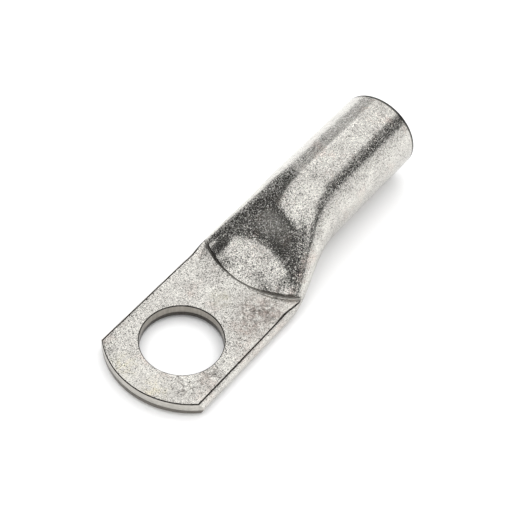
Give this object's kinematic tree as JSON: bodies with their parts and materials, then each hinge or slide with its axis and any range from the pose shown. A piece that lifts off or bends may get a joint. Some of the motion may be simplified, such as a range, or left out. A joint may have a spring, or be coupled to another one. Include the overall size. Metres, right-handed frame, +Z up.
{
  "type": "tubular cable lug",
  "caption": "Tubular copper cable lug: a round barrel for a crimped cable, pressed flat into a rounded palm with a stud hole.",
  "frame": {"origin": "centre of the stud hole, on the underside of the palm", "axes": "+X along the barrel to its open mouth, +Z up from the surface that the palm is bolted to, +Y across the palm"},
  "size_m": [0.0641, 0.0198, 0.014],
  "materials": {
    "tinned_copper": "satin tin plate on copper"
  },
  "bodies": {
    "root": {"cable_lug": "tinned_copper"}
  },
  "joints": []
}
